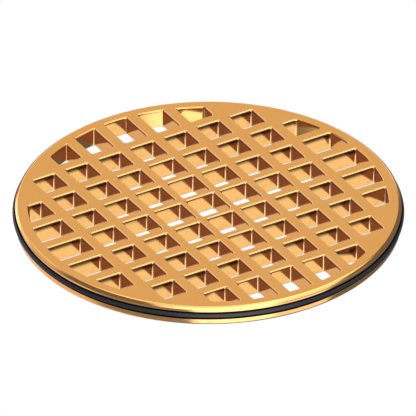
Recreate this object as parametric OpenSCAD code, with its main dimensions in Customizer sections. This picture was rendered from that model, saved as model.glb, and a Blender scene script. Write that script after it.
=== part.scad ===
// Round floor drain grate: a brass plate with square holes, and an O-ring in a groove round its rim.
// The underside lies on z = 0 and the centre of the plate is on the Z axis.
// The bars between the holes run along X and Y.

/* [Plate] */
// Outside diameter of the two lips
plate_d = 108; // [106:0.5:112]
// Thickness of the plate
plate_t = 5.4; // [5:0.1:6]
// Width of the slope round the top edge
slope_w = 0.8; // [0.4:0.1:1.2]
// Drop of the slope round the top edge
slope_h = 0.7; // [0.3:0.1:0.9]
// Size of the bevel round the bottom edge
foot_bevel = 0.3; // [0.1:0.1:0.5]

/* [Groove and O-ring] */
// Thickness of the lip above the groove
upper_lip_t = 1.4; // [1.2:0.1:1.6]
// Height of the groove
groove_h = 2.3; // [2.3:0.1:2.6]
// Section diameter of the O-ring
ring_section = 2.2; // [1.8:0.1:2.2]
// How far the O-ring stands out past the lips
ring_proud = 0.7; // [0.3:0.05:0.8]
// How much the groove floor flattens the inside of the stretched O-ring
ring_flat = 0.1; // [0.05:0.05:0.2]

/* [Holes] */
// Distance from one hole centre to the next
pitch = 10.7; // [10.2:0.1:10.8]
// Side of the hole in the middle of the plate
middle_hole = 9; // [8.6:0.1:9.4]
// Side of the holes near the rim
outer_hole = 7.1; // [6.6:0.1:7.6]
// Steps from the middle over which the holes shrink to the outer size
shrink_steps = 4; // [2:1:6]
// Radius of the upright corners of the holes
hole_corner_r = 0.65; // [0.3:0.05:0.8]
// Radius of the circle on which the holes at the edge end
edge_circle_r = 50.3; // [49.5:0.1:51]

/* [Hidden] */

// Rows of whole square holes on each side of the middle row
whole_rows = 3;
// Edge holes on each side of the middle one, along each of the four sides
edge_reach = 2;
// Cutters run past both faces by this much
past = 1;

plate_r = plate_d / 2;
groove_top_z = plate_t - upper_lip_t;
groove_foot_z = groove_top_z - groove_h;
ring_outer_r = plate_r + ring_proud;
ring_centre_r = ring_outer_r - ring_section / 2;
ring_centre_z = groove_foot_z + groove_h / 2;
groove_floor_r = ring_outer_r - ring_section + ring_flat;

// Side of the square hole that lies i columns and j rows from the middle
function hole_side(i, j) =
    middle_hole - (middle_hole - outer_hole) * min(abs(i) + abs(j), shrink_steps) / shrink_steps;

// Outline of the plate from its axis to its rim, with the groove
module plate_profile() {
    polygon([
        [0, 0],
        [plate_r - foot_bevel, 0],
        [plate_r, foot_bevel],
        [plate_r, groove_foot_z],
        [groove_floor_r, groove_foot_z],
        [groove_floor_r, groove_top_z],
        [plate_r, groove_top_z],
        [plate_r, plate_t - slope_h],
        [plate_r - slope_w, plate_t],
        [0, plate_t]
    ]);
}

// Rectangle with rounded corners, centred on the origin
module rounded_outline(x_size, y_size) {
    inner_x = x_size - 2 * hole_corner_r;
    inner_y = y_size - 2 * hole_corner_r;
    square([inner_x, y_size], center = true);
    square([x_size, inner_y], center = true);
    for (x = [-1, 1], y = [-1, 1])
        translate([x * inner_x / 2, y * inner_y / 2])
            circle(hole_corner_r, $fn = 32);
}

module whole_holes() {
    for (i = [-whole_rows : whole_rows], j = [-whole_rows : whole_rows])
        translate([i * pitch, j * pitch])
            rounded_outline(hole_side(i, j), hole_side(i, j));
}

// The holes along one side start square and run out to the edge circle
module edge_holes() {
    edge_x = (whole_rows + 1) * pitch - outer_hole / 2;
    intersection() {
        circle(edge_circle_r, $fn = 180);
        for (j = [-edge_reach : edge_reach])
            translate([edge_x + pitch, j * pitch])
                rounded_outline(2 * pitch, outer_hole);
    }
}

module grate_plate() {
    color([0.87, 0.63, 0.33])
        difference() {
            rotate_extrude($fn = 180) plate_profile();
            translate([0, 0, -past])
                linear_extrude(plate_t + 2 * past) {
                    whole_holes();
                    for (side = [0 : 3])
                        rotate(side * 90) edge_holes();
                }
        }
}

module o_ring() {
    color([0.05, 0.05, 0.06])
        rotate_extrude($fn = 180)
            intersection() {
                translate([ring_centre_r, ring_centre_z])
                    circle(d = ring_section, $fn = 48);
                translate([groove_floor_r, groove_foot_z])
                    square([ring_section, groove_h]);
            }
}

grate_plate();
o_ring();
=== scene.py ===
from math import cos, pi, radians, sin

import bmesh
import bpy
from mathutils import Matrix, Vector


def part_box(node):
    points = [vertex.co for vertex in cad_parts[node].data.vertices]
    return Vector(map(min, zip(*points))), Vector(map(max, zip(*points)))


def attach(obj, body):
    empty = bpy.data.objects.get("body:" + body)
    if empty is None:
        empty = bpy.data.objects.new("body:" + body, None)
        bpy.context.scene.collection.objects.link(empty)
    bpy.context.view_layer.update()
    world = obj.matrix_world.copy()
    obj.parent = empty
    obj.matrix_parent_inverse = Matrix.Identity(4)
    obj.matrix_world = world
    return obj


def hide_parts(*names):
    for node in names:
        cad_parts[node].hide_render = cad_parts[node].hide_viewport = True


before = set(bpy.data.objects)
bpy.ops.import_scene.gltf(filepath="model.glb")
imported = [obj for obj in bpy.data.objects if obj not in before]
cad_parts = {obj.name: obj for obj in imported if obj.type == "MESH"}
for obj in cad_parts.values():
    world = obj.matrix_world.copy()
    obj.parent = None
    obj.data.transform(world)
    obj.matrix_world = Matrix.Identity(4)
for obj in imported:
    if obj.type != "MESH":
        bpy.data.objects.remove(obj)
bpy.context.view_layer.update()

perMetre = 1000  # pieces are modelled in millimetres and brought to metres when done
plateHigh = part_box("grate_plate")[1]
ringLow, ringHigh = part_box("o_ring")
plateRadius = plateHigh.x * perMetre
plateTop = plateHigh.z * perMetre
print("frame loaded: plate", round(2 * plateRadius, 2), "x", round(plateTop, 2), "mm")


# small helpers for modelling by hand
def nothingSelected():
    if bpy.context.mode != "OBJECT":
        bpy.ops.object.mode_set(mode="OBJECT")
    bpy.ops.object.select_all(action="DESELECT")


def pick(*objs):
    nothingSelected()
    for o in objs:
        o.select_set(True)
    bpy.context.view_layer.objects.active = objs[0]


def selectWhere(obj, kind, wanted):
    # in edit mode, selects only the verts, edges or faces that wanted() says yes to
    bpy.context.tool_settings.mesh_select_mode = (kind == "verts", kind == "edges", kind == "faces")
    bpy.ops.mesh.select_all(action="DESELECT")
    mesh = bmesh.from_edit_mesh(obj.data)
    for item in getattr(mesh, kind):
        if wanted(item):
            item.select_set(True)
    bmesh.update_edit_mesh(obj.data)


def applyPlace(obj):
    pick(obj)
    bpy.ops.object.transform_apply(location=True, rotation=True, scale=True)


def applyModifier(obj, name, kind, **settings):
    modifier = obj.modifiers.new(name, kind)
    for key, value in settings.items():
        setattr(modifier, key, value)
    pick(obj)
    bpy.ops.object.modifier_apply(modifier=name)


def mergeAndFaceOut(obj, gap=0.002):
    pick(obj)
    bpy.ops.object.mode_set(mode="EDIT")
    bpy.ops.mesh.select_all(action="SELECT")
    bpy.ops.mesh.remove_doubles(threshold=gap)
    bpy.ops.mesh.normals_make_consistent(inside=False)
    bpy.ops.object.mode_set(mode="OBJECT")


def toMetres(obj):
    obj.scale = (1 / perMetre,) * 3
    applyPlace(obj)


def smoothRoundings(obj, angle=50):
    # smooth across the small roundings, while the big faces stay dead flat
    pick(obj)
    bpy.ops.object.shade_smooth_by_angle(angle=radians(angle))
    applyModifier(obj, "flatFaces", "WEIGHTED_NORMAL", weight=100, keep_sharp=True)


# the grate plate, in millimetres
grate = {
    "slopeWidth": 0.8,  # slope round the top edge
    "slopeDrop": 0.7,
    "footBevel": 0.3,
    "upperLip": 1.4,  # metal above the groove
    "grooveHeight": 2.3,
    "grooveFloor": 52.6,
    "lipRounding": 0.12,
    "footTopRounding": 0.28,
    "slopeRounding": 0.3,
    "slopeFootRounding": 0.12,
    "pitch": 10.7,
    "middleHole": 9.0,
    "outerHole": 7.1,
    "shrinkSteps": 4,  # steps from the middle over which the holes get smaller
    "wholeRows": 3,
    "edgeReach": 2,  # edge holes on each side of the middle one
    "edgeCircle": 50.3,
    "cornerRadius": 0.65,
    "cornerSteps": 5,
    "topRounding": 0.55,  # broken edge where a hole meets the top face
    "footRounding": 0.2,
    "roundingSteps": 4,
    "overshoot": 0.012,  # lets the rounding cross the face cleanly
    "rimSteps": 288,
}


def growDisc(outline):
    # extrudes a disc through the heights and radii of the rim's outline
    z, r = outline[0]
    for height, radius in outline[1:]:
        bpy.ops.mesh.extrude_region_move(TRANSFORM_OT_translate={"value": (0, 0, height - z)})
        bpy.ops.transform.resize(value=(radius / r, radius / r, 1), center_override=(0, 0, 0))
        z, r = height, radius


def onCircle(height, radius, slack=0.01):
    def wanted(edge):
        return all(
            abs(v.co.z - height) < slack and abs(v.co.xy.length - radius) < slack
            for v in edge.verts
        )
    return wanted


def makeBlank(g):
    grooveTop = plateTop - g["upperLip"]
    grooveFoot = grooveTop - g["grooveHeight"]
    slopeFoot = plateTop - g["slopeDrop"]
    faceRadius = plateRadius - g["slopeWidth"]
    nothingSelected()
    bpy.ops.mesh.primitive_circle_add(
        vertices=g["rimSteps"], radius=plateRadius - g["footBevel"], fill_type="NGON"
    )
    blank = bpy.context.object
    blank.name = "gratePlate"
    bpy.ops.object.mode_set(mode="EDIT")
    bpy.ops.mesh.select_all(action="SELECT")
    growDisc([
        (0, plateRadius - g["footBevel"]),
        (g["footBevel"], plateRadius),
        (grooveFoot, plateRadius),
        (grooveFoot, g["grooveFloor"]),
        (grooveTop, g["grooveFloor"]),
        (grooveTop, plateRadius),
        (slopeFoot, plateRadius),
        (plateTop, faceRadius),
    ])
    for height, radius, width in (
        (g["footBevel"], plateRadius, g["footTopRounding"]),
        (grooveFoot, plateRadius, g["lipRounding"]),
        (grooveTop, plateRadius, g["lipRounding"]),
        (slopeFoot, plateRadius, g["slopeFootRounding"]),
        (plateTop, faceRadius, g["slopeRounding"]),
    ):
        selectWhere(blank, "edges", onCircle(height, radius))
        bpy.ops.mesh.bevel(offset=width, segments=3, affect="EDGES")
    mergeAndFaceOut(blank)
    return blank


def holeSide(i, j, g):
    steps = min(abs(i) + abs(j), g["shrinkSteps"])
    return g["middleHole"] - (g["middleHole"] - g["outerHole"]) * steps / g["shrinkSteps"]


def uprightCorner(edge):
    a, b = edge.verts
    upright = abs(a.co.z - b.co.z) > plateTop / 2
    return upright and edge.calc_face_angle(0) > radians(12)


def flareEnd(cutter, end, rounding, away, g):
    # steps the cutter outwards at one end, so that it leaves a rounded edge on the plate
    start = end - away * rounding
    ring = [v.co for v in cutter.data.vertices if abs(v.co.z - start) < 0.01]
    lowX, highX = min(p.x for p in ring), max(p.x for p in ring)
    lowY, highY = min(p.y for p in ring), max(p.y for p in ring)
    middle = ((lowX + highX) / 2, (lowY + highY) / 2, 0)
    halfX, halfY = (highX - lowX) / 2, (highY - lowY) / 2
    bpy.ops.object.mode_set(mode="EDIT")
    selectWhere(cutter, "faces", lambda f: all(abs(v.co.z - start) < 0.01 for v in f.verts))
    out, z = 0.0, start
    for step in range(1, g["roundingSteps"] + 1):
        turn = step / g["roundingSteps"] * pi / 2
        nextOut = rounding * (1 - cos(turn))
        nextZ = end - away * rounding * (1 - sin(turn))
        if step == g["roundingSteps"]:
            nextZ += away * g["overshoot"]
        bpy.ops.mesh.extrude_region_move(TRANSFORM_OT_translate={"value": (0, 0, nextZ - z)})
        wider = (halfX + nextOut) / (halfX + out)
        deeper = (halfY + nextOut) / (halfY + out)
        bpy.ops.transform.resize(value=(wider, deeper, 1), center_override=middle)
        out, z = nextOut, nextZ
    bpy.ops.mesh.extrude_region_move(TRANSFORM_OT_translate={"value": (0, 0, away)})
    bpy.ops.object.mode_set(mode="OBJECT")


def makeCutter(lowX, highX, lowY, highY, g, trimRadius=None):
    # a block as tall as the straight part of a hole's wall, with rounded upright edges
    foot, head = g["footRounding"], plateTop - g["topRounding"]
    nothingSelected()
    bpy.ops.mesh.primitive_cube_add(
        size=1,
        location=((lowX + highX) / 2, (lowY + highY) / 2, (foot + head) / 2),
        scale=(highX - lowX, highY - lowY, head - foot),
    )
    cutter = bpy.context.object
    applyPlace(cutter)
    if trimRadius:
        bpy.ops.mesh.primitive_cylinder_add(
            vertices=g["rimSteps"], radius=trimRadius, depth=4 * plateTop, location=(0, 0, plateTop / 2)
        )
        rod = bpy.context.object
        applyModifier(cutter, "trim", "BOOLEAN", operation="INTERSECT", solver="MANIFOLD", object=rod)
        bpy.data.objects.remove(rod)
    pick(cutter)
    bpy.ops.object.mode_set(mode="EDIT")
    selectWhere(cutter, "edges", uprightCorner)
    bpy.ops.mesh.bevel(offset=g["cornerRadius"], segments=g["cornerSteps"], affect="EDGES")
    bpy.ops.object.mode_set(mode="OBJECT")
    flareEnd(cutter, plateTop, g["topRounding"], 1, g)
    flareEnd(cutter, 0, g["footRounding"], -1, g)
    return cutter


def copyOf(obj, move=(0, 0, 0), turn=0.0):
    twin = obj.copy()
    twin.data = obj.data.copy()
    twin.data.transform(Matrix.Rotation(turn, 4, "Z") @ Matrix.Translation(move))
    bpy.context.scene.collection.objects.link(twin)
    return twin


def makeHoleCutters(g):
    cutters, masters = [], {}
    for i in range(-g["wholeRows"], g["wholeRows"] + 1):
        for j in range(-g["wholeRows"], g["wholeRows"] + 1):
            half = holeSide(i, j, g) / 2
            if half not in masters:
                masters[half] = makeCutter(-half, half, -half, half, g)
            cutters.append(copyOf(masters[half], move=(i * g["pitch"], j * g["pitch"], 0)))
    half = g["outerHole"] / 2
    innerX = (g["wholeRows"] + 1) * g["pitch"] - half
    for j in range(-g["edgeReach"], g["edgeReach"] + 1):
        y = j * g["pitch"]
        master = makeCutter(innerX, plateRadius, y - half, y + half, g, trimRadius=g["edgeCircle"])
        cutters += [copyOf(master, turn=side * pi / 2) for side in range(4)]
        bpy.data.objects.remove(master)
    for master in masters.values():
        bpy.data.objects.remove(master)
    pick(*cutters)
    bpy.ops.object.join()
    return bpy.context.object


def splitWideFaces(plate, g):
    # cuts the top and the underside through the middles of the holes, so only simple faces are left
    def wide(face):
        height = face.calc_center_median().z
        level = abs(face.normal.z) > 0.999
        return level and min(abs(height), abs(height - plateTop)) < 0.001

    pick(plate)
    bpy.ops.object.mode_set(mode="EDIT")
    for row in range(-g["wholeRows"] - 1, g["wholeRows"] + 2):
        for across in (Vector((1, 0, 0)), Vector((0, 1, 0))):
            selectWhere(plate, "faces", wide)
            bpy.ops.mesh.bisect(plane_co=across * row * g["pitch"], plane_no=across)
            bpy.ops.mesh.mark_seam()
    selectWhere(plate, "faces", wide)
    bpy.ops.mesh.dissolve_limited(angle_limit=radians(0.2), delimit={"SEAM"})
    bpy.ops.mesh.select_all(action="SELECT")
    bpy.ops.mesh.mark_seam(clear=True)
    bpy.ops.object.mode_set(mode="OBJECT")


def makeGrate(g):
    plate = makeBlank(g)
    cutters = makeHoleCutters(g)
    applyModifier(plate, "holes", "BOOLEAN", operation="DIFFERENCE", solver="MANIFOLD", object=cutters)
    bpy.data.objects.remove(cutters)
    splitWideFaces(plate, g)
    mergeAndFaceOut(plate)
    toMetres(plate)
    smoothRoundings(plate)
    return plate


gratePlate = makeGrate(grate)
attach(gratePlate, "root")
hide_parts("grate_plate")
print("grate plate cut:", len(gratePlate.data.polygons), "faces")


# the O-ring, in millimetres
ring = {
    "outerRadius": ringHigh.x * perMetre,
    "section": (ringHigh.z - ringLow.z) * perMetre,
    "centreZ": (ringHigh.z + ringLow.z) / 2 * perMetre,
    "flatRadius": grate["grooveFloor"],  # where the stretched rubber lies on the groove's floor
    "flashHeight": 0.03,  # moulding line round the outside
    "flashWidth": 0.16,
    "sectionSteps": 48,
    "rimSteps": 288,
}


def makeRing(g):
    sectionRadius = g["section"] / 2 - g["flashHeight"]
    centreR = g["outerRadius"] - g["section"] / 2
    nothingSelected()
    bpy.ops.mesh.primitive_circle_add(
        vertices=g["sectionSteps"], radius=sectionRadius,
        location=(centreR, 0, g["centreZ"]), rotation=(pi / 2, 0, 0),
    )
    oRing = bpy.context.object
    oRing.name = "oRing"
    applyPlace(oRing)
    bpy.ops.object.mode_set(mode="EDIT")
    bpy.ops.mesh.select_all(action="SELECT")
    bpy.ops.mesh.bisect(plane_co=(g["flatRadius"], 0, 0), plane_no=(1, 0, 0), clear_inner=True)
    selectWhere(oRing, "verts", lambda v: len(v.link_edges) == 1)
    bpy.ops.mesh.edge_face_add()
    bpy.ops.mesh.select_all(action="SELECT")
    bpy.ops.mesh.spin(steps=g["rimSteps"], angle=2 * pi, center=(0, 0, 0), axis=(0, 0, 1))
    mergeAndFaceOut(oRing)
    bpy.ops.object.mode_set(mode="EDIT")
    selectWhere(oRing, "edges", onCircle(g["centreZ"], centreR + sectionRadius))
    bpy.ops.mesh.bevel(offset=g["flashWidth"] / 2, segments=2, affect="EDGES")
    selectWhere(oRing, "edges", onCircle(g["centreZ"], centreR + sectionRadius))
    grow = g["outerRadius"] / (centreR + sectionRadius)
    bpy.ops.transform.resize(value=(grow, grow, 1), center_override=(0, 0, 0))
    mergeAndFaceOut(oRing)
    toMetres(oRing)
    smoothRoundings(oRing)
    return oRing


oRing = makeRing(ring)
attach(oRing, "root")
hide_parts("o_ring")
print("O-ring spun:", len(oRing.data.polygons), "faces")


# node trees: sums on sockets are written as Python, every other node comes from Tree.node
class Wire:
    def __init__(self, tree, socket):
        self.tree = tree
        self.socket = socket

    def sum(self, operation, first, second):
        return self.tree.sum(operation, first, second)

    def __add__(self, other):
        return self.sum("ADD", self, other)

    def __sub__(self, other):
        return self.sum("SUBTRACT", self, other)

    def __rsub__(self, other):
        return self.sum("SUBTRACT", other, self)

    def __mul__(self, other):
        return self.sum("MULTIPLY", self, other)

    def __truediv__(self, other):
        return self.sum("DIVIDE", self, other)

    __radd__ = __add__
    __rmul__ = __mul__


class Tree:
    def __init__(self, owner):
        owner.use_nodes = True
        self.nodes = owner.node_tree.nodes
        self.links = owner.node_tree.links
        self.nodes.clear()

    def node(self, kind, settings=None, inputs=None, output=0):
        made = self.nodes.new(kind)
        for key, value in (settings or {}).items():
            setattr(made, key, value)
        for key, value in (inputs or {}).items():
            if isinstance(value, Wire):
                self.links.new(value.socket, made.inputs[key])
            else:
                made.inputs[key].default_value = value
        return Wire(self, made.outputs[output]) if made.outputs else made

    def sum(self, operation, first, second=0.0):
        return self.node("ShaderNodeMath", {"operation": operation}, {0: first, 1: second})

    def step(self, value, low, high, fromValue=0.0, toValue=1.0):
        # eases from one value to another as the input goes from low to high
        return self.node(
            "ShaderNodeMapRange",
            {"interpolation_type": "SMOOTHSTEP"},
            {
                "Value": value, "From Min": low, "From Max": high,
                "To Min": fromValue, "To Max": toValue,
            },
        )

    def mixColour(self, factor, first, second):
        return self.node("ShaderNodeMix", {"data_type": "RGBA"}, {0: factor, 6: first, 7: second}, 2)

    def part(self, vector, axis):
        # how far a vector reaches along an axis
        dot = {"operation": "DOT_PRODUCT"}
        return self.node("ShaderNodeVectorMath", dot, {0: vector, 1: axis}, "Value")

    def bump(self, strength, distance, height):
        return self.node(
            "ShaderNodeBump", {}, {"Strength": strength, "Distance": distance, "Height": height}
        )

    def radius(self, place):
        # distance from the axis of the plate, in millimetres
        flat = self.node("ShaderNodeVectorMath", {"operation": "MULTIPLY"}, {0: place, 1: (1, 1, 0)})
        return self.node("ShaderNodeVectorMath", {"operation": "LENGTH"}, {0: flat}, "Value") * perMetre


def finishWith(tree, shader, kind="ShaderNodeOutputMaterial"):
    tree.node(kind, {}, {"Surface": shader})


cameraTurn, cameraRise = radians(-31), radians(32.6)
toRight = Vector((cos(cameraTurn), sin(cameraTurn), 0))
toBack = Vector((-sin(cameraTurn), cos(cameraTurn), 0))


def markWear(plate, b):
    # one attribute for the broken edges, and one for the rounded upright corners of the holes
    wear = plate.data.attributes.new("wear", "FLOAT", "FACE")
    corner = plate.data.attributes.new("corner", "FLOAT", "FACE")
    for face in plate.data.polygons:
        normal = face.normal
        inHole = face.center.xy.length * perMetre < grate["edgeCircle"] - 0.1
        lean = 1 - max(abs(normal.z), normal.xy.length)
        share = 1 if inHole else b["rimWear"]
        wear.data[face.index].value = min(1.0, lean / b["leanAtFullWear"]) * share
        turned = 1 - max(abs(normal.x), abs(normal.y), abs(normal.z))
        if inHole and lean < 0.02:
            corner.data[face.index].value = min(1.0, turned / b["leanAtFullWear"])


def noise(tree, place, scale, detail=2.0, roughness=0.5, stretch=(1, 1, 1), turn=0.0):
    # noise with features about 1 / scale millimetres wide, drawn out where stretch is small
    moved = tree.node(
        "ShaderNodeMapping", {},
        {"Vector": place, "Rotation": (0, 0, turn), "Scale": [perMetre * part for part in stretch]},
    )
    return tree.node(
        "ShaderNodeTexNoise", {},
        {"Vector": moved, "Scale": scale, "Detail": detail, "Roughness": roughness},
    )


brass = {
    "tone": (0.93, 0.435, 0.106, 1),
    "paleTone": (0.94, 0.455, 0.12, 1),
    "rimTone": (0.88, 0.475, 0.175, 1),
    "wallTone": (0.9, 0.5, 0.165, 1),  # the holes are milled, and left less yellow than the lapped face
    "tarnish": (0.62, 0.27, 0.07, 1),
    "wornTone": (0.79, 0.465, 0.265, 1),
    # the next colour is painted shade for the holes' rounded upright corners
    "cornerShadeTone": (0.62, 0.35, 0.19, 1),
    "roughness": 0.09,
    "roughnessSpread": 0.07,
    "cloudScale": 0.09,
    "mottleScale": 1.6,
    "lappingScale": 9.0,
    "lappingTurn": -31,
    "scratches": ((2.2, 0.03, 24, 0.69), (1.7, 0.04, -68, 0.7)),  # scale, stretch, turn, threshold
    "scratchTone": 0.22,
    "scratchDepth": 0.12,
    "mottleDepth": 0.03,
    "bumpDistance": 0.00002,
    "stainScale": 0.55,
    "tarnishDepth": 0.35,
    "wearDepth": 0.95,
    "leanAtFullWear": 0.2,
    "rimWear": 0.35,
    "cornerRoughness": 0.2,
}


def brassMaterial(b):
    material = bpy.data.materials.new("polishedBrass")
    tree = Tree(material)
    place = tree.node("ShaderNodeTexCoord", {}, {}, "Object")
    cloud = noise(tree, place, b["cloudScale"], 3.0)
    mottle = noise(tree, place, b["mottleScale"], 4.0, 0.6)
    lapping = noise(tree, place, b["lappingScale"], 3.0, 0.6, (0.02, 1, 1), radians(b["lappingTurn"]))
    height = tree.part(place, (0, 0, perMetre))
    aboveFoot = tree.step(height, 0.02, 0.12)  # the underside has neither scratches nor milled walls
    scratches = 0
    for scale, stretch, turn, threshold in b["scratches"]:
        lines = noise(tree, place, scale, 2.0, 0.5, (stretch, 1, 1), radians(turn))
        scratches = scratches + tree.step(lines, threshold, threshold + 0.03)
    scratches = scratches * aboveFoot
    wear = tree.node("ShaderNodeAttribute", {"attribute_name": "wear"}, {}, "Fac")
    corner = tree.node("ShaderNodeAttribute", {"attribute_name": "corner"}, {}, "Fac")
    radius = tree.radius(place)
    inHole = tree.step(radius, grate["edgeCircle"] + 0.2, grate["edgeCircle"] + 0.6, 1.0, 0.0)
    lowDown = tree.step(height, 0.2, plateTop - 0.8, 1.0, 0.0)
    wall = inHole * aboveFoot * tree.step(height, plateTop - 0.7, plateTop - 0.3, 1.0, 0.0)
    stain = tree.step(noise(tree, place, b["stainScale"], 4.0, 0.65), 0.46, 0.72)
    stain = stain * (lowDown * 0.75 + 0.06)
    tone = tree.mixColour(tree.step(cloud + mottle * 0.5, 0.5, 1.0), b["tone"], b["paleTone"])
    outside = tree.step(radius, plateRadius - 0.4, plateRadius - 0.2)
    tone = tree.mixColour(wall, tone, b["wallTone"])
    tone = tree.mixColour(outside, tone, b["rimTone"])
    tone = tree.mixColour(stain * b["tarnishDepth"], tone, b["tarnish"])
    patchy = tree.step(mottle, 0.3, 0.6, 0.55, 1.0) * b["wearDepth"]
    tone = tree.mixColour(wear * patchy, tone, b["wornTone"])
    # painted shade: the holes' rounded upright corners are darkened in patches, as though less lit; their
    # extra roughness below is a real finish
    tone = tree.mixColour(corner * patchy, tone, b["cornerShadeTone"])
    tone = tree.mixColour(scratches * b["scratchTone"], tone, b["wornTone"])
    roughness = (
        b["roughness"]
        + tree.step(cloud, 0.35, 0.65) * b["roughnessSpread"] * 0.4
        + (lapping + mottle) * b["roughnessSpread"] * 0.3
        + stain * 0.12
        + corner * b["cornerRoughness"]
        + scratches * 0.06
    )
    relief = lapping * b["mottleDepth"] + mottle * b["mottleDepth"] - scratches * b["scratchDepth"]
    bump = tree.bump(0.35, b["bumpDistance"], relief)
    shader = tree.node(
        "ShaderNodeBsdfPrincipled", {},
        {"Base Color": tone, "Metallic": 1.0, "Roughness": roughness, "Normal": bump},
    )
    finishWith(tree, shader)
    return material


rubber = {
    "tone": (0.010, 0.0145, 0.021, 1),
    "dust": (0.085, 0.08, 0.072, 1),
    # the next colour is the near-black of painted shade, for the ring's parts that lie in the groove's
    # shade
    "paintedShadeTone": (0.0035, 0.0025, 0.002, 1),
    "roughness": 0.32,
    "roughnessSpread": 0.14,
    "grainScale": 7.0,
    "patchScale": 0.35,
    "scuffScale": 3.0,
    "dustScale": 4.5,
    "paintedShadeRadius": 54.3,  # painted shade: the ring is painted near-black deeper in the groove than this, where the upper lip shades it
    "paintedShadeHeight": 2.72,  # and lower than this, where the groove and the lower lip shade it: painted shade as well
    "bumpDistance": 0.00004,
}


def rubberMaterial(r):
    material = bpy.data.materials.new("blackRubber")
    tree = Tree(material)
    place = tree.node("ShaderNodeTexCoord", {}, {}, "Object")
    grain = noise(tree, place, r["grainScale"], 3.0, 0.6)
    patches = noise(tree, place, r["patchScale"], 3.0)
    scuffs = tree.step(noise(tree, place, r["scuffScale"], 2.0, 0.5, (1, 1, 0.25)), 0.62, 0.7)
    specks = noise(tree, place, r["dustScale"], 5.0, 0.7)
    dust = tree.step(specks, 0.6, 0.78) * tree.step(patches, 0.4, 0.7)
    tone = tree.mixColour(dust * 0.5 + scuffs * 0.12, r["tone"], r["dust"])
    roughness = r["roughness"] + (patches + grain) * r["roughnessSpread"] * 0.5 + dust * 0.2
    relief = grain * 0.5 + scuffs * 0.4
    bump = tree.bump(0.3, r["bumpDistance"], relief)
    satin = tree.node(
        "ShaderNodeBsdfPrincipled", {}, {"Base Color": tone, "Roughness": roughness, "Normal": bump}
    )
    # painted shade: a near-black matte coat on the parts of the ring that the lips shade in the groove
    paintedShadeFilm = tree.node(
        "ShaderNodeBsdfPrincipled", {},
        {"Base Color": r["paintedShadeTone"], "Roughness": 0.85, "Specular IOR Level": 0.03, "Normal": bump},
    )
    radius = tree.radius(place)
    height = tree.part(place, (0, 0, perMetre))
    # the painted shade covers the ring deep in the groove and on its lower half
    unshaded = tree.step(radius + patches * 0.1, r["paintedShadeRadius"] - 0.05, r["paintedShadeRadius"] + 0.15)
    unshaded = unshaded * tree.step(height + patches * 0.1, r["paintedShadeHeight"] - 0.05, r["paintedShadeHeight"] + 0.15)
    deep = 1 - unshaded
    finishWith(tree, tree.node("ShaderNodeMixShader", {}, {0: deep, 1: satin, 2: paintedShadeFilm}))
    return material


markWear(gratePlate, brass)
gratePlate.data.materials.clear()
gratePlate.data.materials.append(brassMaterial(brass))
oRing.data.materials.append(rubberMaterial(rubber))
print("materials made")


# the studio: soft panels seen only in reflections, and a pale floor. Turns and rises are in degrees
studio = {
    "whiteness": 1.0,
    "deepLight": 0.383,  # what a reflection of a reflection finds
    "deepTint": (0.9, 0.725, 1.57, 1),
    "gloom": 0.2,  # the room between the panels
    "ceilingPanels": (
        # left and right edge, softness, light
        (-0.38, 1.03, 0.06, 1.4),
        (-0.22, 0.5, 0.08, 1.0),
    ),
    "overhead": 0.24,  # how much of the ceiling's light is left straight above the plate
    "panels": (
        # counted from, left and right edge, softness, foot and head, softness, light
        ("front", 71, 100, 3, 3, 26, 4, 0.6),  # right wall
        ("back", -96, -72, 3, 16, 31, 3, 0.5),  # left wall
        ("front", -150, -117, 4, -6, 12, 4, 0.5),
        ("back", -74, 16, 5, 18, 48, 3, 0.58),  # wall behind
        ("back", -56, -18, 5, 37, 50, 3, 0.4),
        ("back", -44, 24, 6, 1, 17, 3, 1.3),
        ("back", -20, 60, 6, 47, 58, 3, 0.5),  # between the wall behind and the ceiling
        ("front", -9, 40, 4, -43, 44, 5, 2.0),  # window in front
        ("front", -9, 40, 4, -75, -43, 5, 0.9),
        ("back", -62, -37, 4, 6, 22, 3, 0.6),
        ("front", 40, 77, 3, -46, -22, 4, 1.14),  # floor on the right
        ("front", -62, -9, 6, -50, 18, 8, 0.14),
    ),
    "floorLeft": ("front", -150, -70, 14, -150, -22, 4, 0.8),
    "leftTint": (1.0, 0.85, 0.78, 1),
    "underPlate": 0.82,  # light left on the floor close under the holes
    "shadeDark": 0.9,  # distance from the foot of the nearest wall, in mm
    "shadeLight": 2.35,
    "shadeHeight": 0.05,  # how far inside the mouths the shade lies, in mm
    "floorDepth": 0.03,  # the floor lies this far below the plate, so the two don't share a plane
}


def band(tree, value, low, high, soft):
    # one between low and high, fading to nothing outside
    return tree.step(value, low - soft, low + soft) * tree.step(value, high - soft, high + soft, 1.0, 0.0)


def angle(tree, kind, first, second=0.0):
    return tree.node("ShaderNodeMath", {"operation": kind}, {0: first, 1: second}) * (180 / pi)


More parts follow.
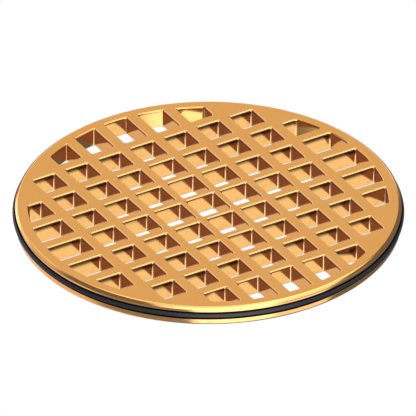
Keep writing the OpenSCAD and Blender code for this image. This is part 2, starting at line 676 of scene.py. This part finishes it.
def makeWorld(s):
    world = bpy.data.worlds.new("studio")
    bpy.context.scene.world = world
    world.cycles.sampling_method = "NONE"
    tree = Tree(world)
    way = tree.node("ShaderNodeTexCoord", {}, {}, "Generated")
    right, back, up = tree.part(way, toRight), tree.part(way, toBack), tree.part(way, (0, 0, 1))
    fromBack = angle(tree, "ARCTAN2", right, back)
    fromFront = angle(tree, "ARCTAN2", right, 0 - back)
    rise = angle(tree, "ARCSINE", up)
    height = tree.sum("MAXIMUM", up, 0.05)
    acrossCeiling, alongCeiling = right / height, back / height
    offAcross, offAlong = acrossCeiling + 0.07, alongCeiling - 0.1
    overhead = tree.sum("SQRT", offAcross * offAcross + offAlong * offAlong)
    ceilingDepth = band(tree, alongCeiling, -0.68, 0.75, 0.06) * tree.step(up, 0.1, 0.3)
    ceilingDepth = ceilingDepth * tree.step(overhead, 0.2, 0.36, s["overhead"], 1.0)

    def spot(side, left, right, soft, foot, head, riseSoft):
        turn = fromFront if side == "front" else fromBack
        return band(tree, turn, left, right, soft) * band(tree, rise, foot, head, riseSoft)

    light = s["gloom"]
    for left, rightEdge, soft, strength in s["ceilingPanels"]:
        light = light + band(tree, acrossCeiling, left, rightEdge, soft) * ceilingDepth * strength
    for *edges, strength in s["panels"]:
        light = light + spot(*edges) * strength
    warm = spot(*s["floorLeft"][:-1])
    light = light + warm * s["floorLeft"][-1]
    depth = tree.node("ShaderNodeLightPath", {}, {}, "Ray Depth")
    deep = tree.step(depth, 2.2, 2.8)
    tint = tree.mixColour(warm, (1, 1, 1, 1), s["leftTint"])
    tint = tree.mixColour(deep, tint, s["deepTint"])
    seen = tree.node("ShaderNodeLightPath", {}, {}, "Is Camera Ray")
    strength = (light * (1 - deep) + deep * s["deepLight"]) * (1 - seen) + seen * s["whiteness"]
    background = tree.node("ShaderNodeBackground", {}, {"Color": tint, "Strength": strength})
    finishWith(tree, background, "ShaderNodeOutputWorld")


def makeFloor(s):
    nothingSelected()
    bpy.ops.mesh.primitive_plane_add(size=4, location=(0, 0, -s["floorDepth"] / perMetre))
    floor = bpy.context.object
    floor.name = "floor"
    floor.visible_glossy = False
    floor.visible_shadow = False
    material = bpy.data.materials.new("paleFloor")
    tree = Tree(material)
    white = tree.node("ShaderNodeEmission", {}, {"Color": (1, 1, 1, 1), "Strength": s["whiteness"]})
    clear = tree.node("ShaderNodeBsdfTransparent")
    underneath = tree.node("ShaderNodeNewGeometry", {}, {}, "Backfacing")
    finishWith(tree, tree.node("ShaderNodeMixShader", {}, {0: underneath, 1: white, 2: clear}))
    floor.data.materials.append(material)


def makeShade(s):
    # stands in for the plate's own shadow on the floor: only reflections in the holes' walls
    # see it, and its places are set for the main camera
    nothingSelected()
    bpy.ops.mesh.primitive_circle_add(
        vertices=96, radius=(plateRadius - 3) / perMetre, fill_type="NGON",
        location=(0, 0, s["shadeHeight"] / perMetre),
    )
    shade = bpy.context.object
    shade.name = "shade"
    shade.visible_camera = False
    shade.visible_shadow = False
    shade.visible_diffuse = False
    material = bpy.data.materials.new("shadeUnderPlate")
    tree = Tree(material)
    place = tree.node("ShaderNodeTexCoord", {}, {}, "Object")
    x, y = tree.part(place, (perMetre, 0, 0)), tree.part(place, (0, perMetre, 0))
    column = tree.sum("ROUND", x / grate["pitch"])
    row = tree.sum("MINIMUM", tree.sum("ROUND", y / grate["pitch"]), grate["wholeRows"] + 1)
    steps = tree.sum("ABSOLUTE", column) + tree.sum("ABSOLUTE", row)
    steps = tree.sum("MINIMUM", steps, grate["shrinkSteps"])
    shrink = (grate["middleHole"] - grate["outerHole"]) / 2 / grate["shrinkSteps"]
    nearWall = y - row * grate["pitch"] + grate["middleHole"] / 2 - steps * shrink
    # the nearest edge holes end on the arc, and the furthest ones are lit from behind
    edgeRow = (grate["wholeRows"] + 1) * grate["pitch"] - grate["outerHole"] / 2
    radius = tree.radius(place)
    nearest = tree.step(y, -edgeRow, -edgeRow + 0.2, 1.0, 0.0)
    furthest = tree.step(y, edgeRow - 0.2, edgeRow)
    nearWall = nearWall * (1 - nearest) + (grate["edgeCircle"] - radius + 0.9) * nearest + furthest * 3
    clear = tree.step(nearWall, s["shadeDark"], s["shadeLight"], 0.04, s["underPlate"])
    white = tree.mixColour(clear, (0, 0, 0, 1), (1, 1, 1, 1))
    finishWith(tree, tree.node("ShaderNodeBsdfTransparent", {}, {"Color": white}))
    shade.data.materials.append(material)


makeWorld(studio)
makeFloor(studio)
makeShade(studio)


view = {
    "width": 0.1161,
    "distance": 0.5,
    "shiftRight": -0.0001,  # the plate sits a hair off the middle of the frame
    "shiftUp": -0.001075,
}


def makeCamera(v):
    camera = bpy.data.objects.new("camera", bpy.data.cameras.new("camera"))
    bpy.context.scene.collection.objects.link(camera)
    bpy.context.scene.camera = camera
    camera.data.type = "ORTHO"
    camera.data.ortho_scale = v["width"]
    toCamera = -toBack * cos(cameraRise) + Vector((0, 0, sin(cameraRise)))
    camera.rotation_euler = (-toCamera).to_track_quat("-Z", "Y").to_euler()
    upward = toBack * sin(cameraRise) + Vector((0, 0, cos(cameraRise)))
    aim = Vector((0, 0, plateTop / perMetre))
    camera.location = aim + toCamera * v["distance"] + toRight * v["shiftRight"] + upward * v["shiftUp"]


makeCamera(view)
bpy.context.scene.view_settings.view_transform = "Standard"
print("studio ready")
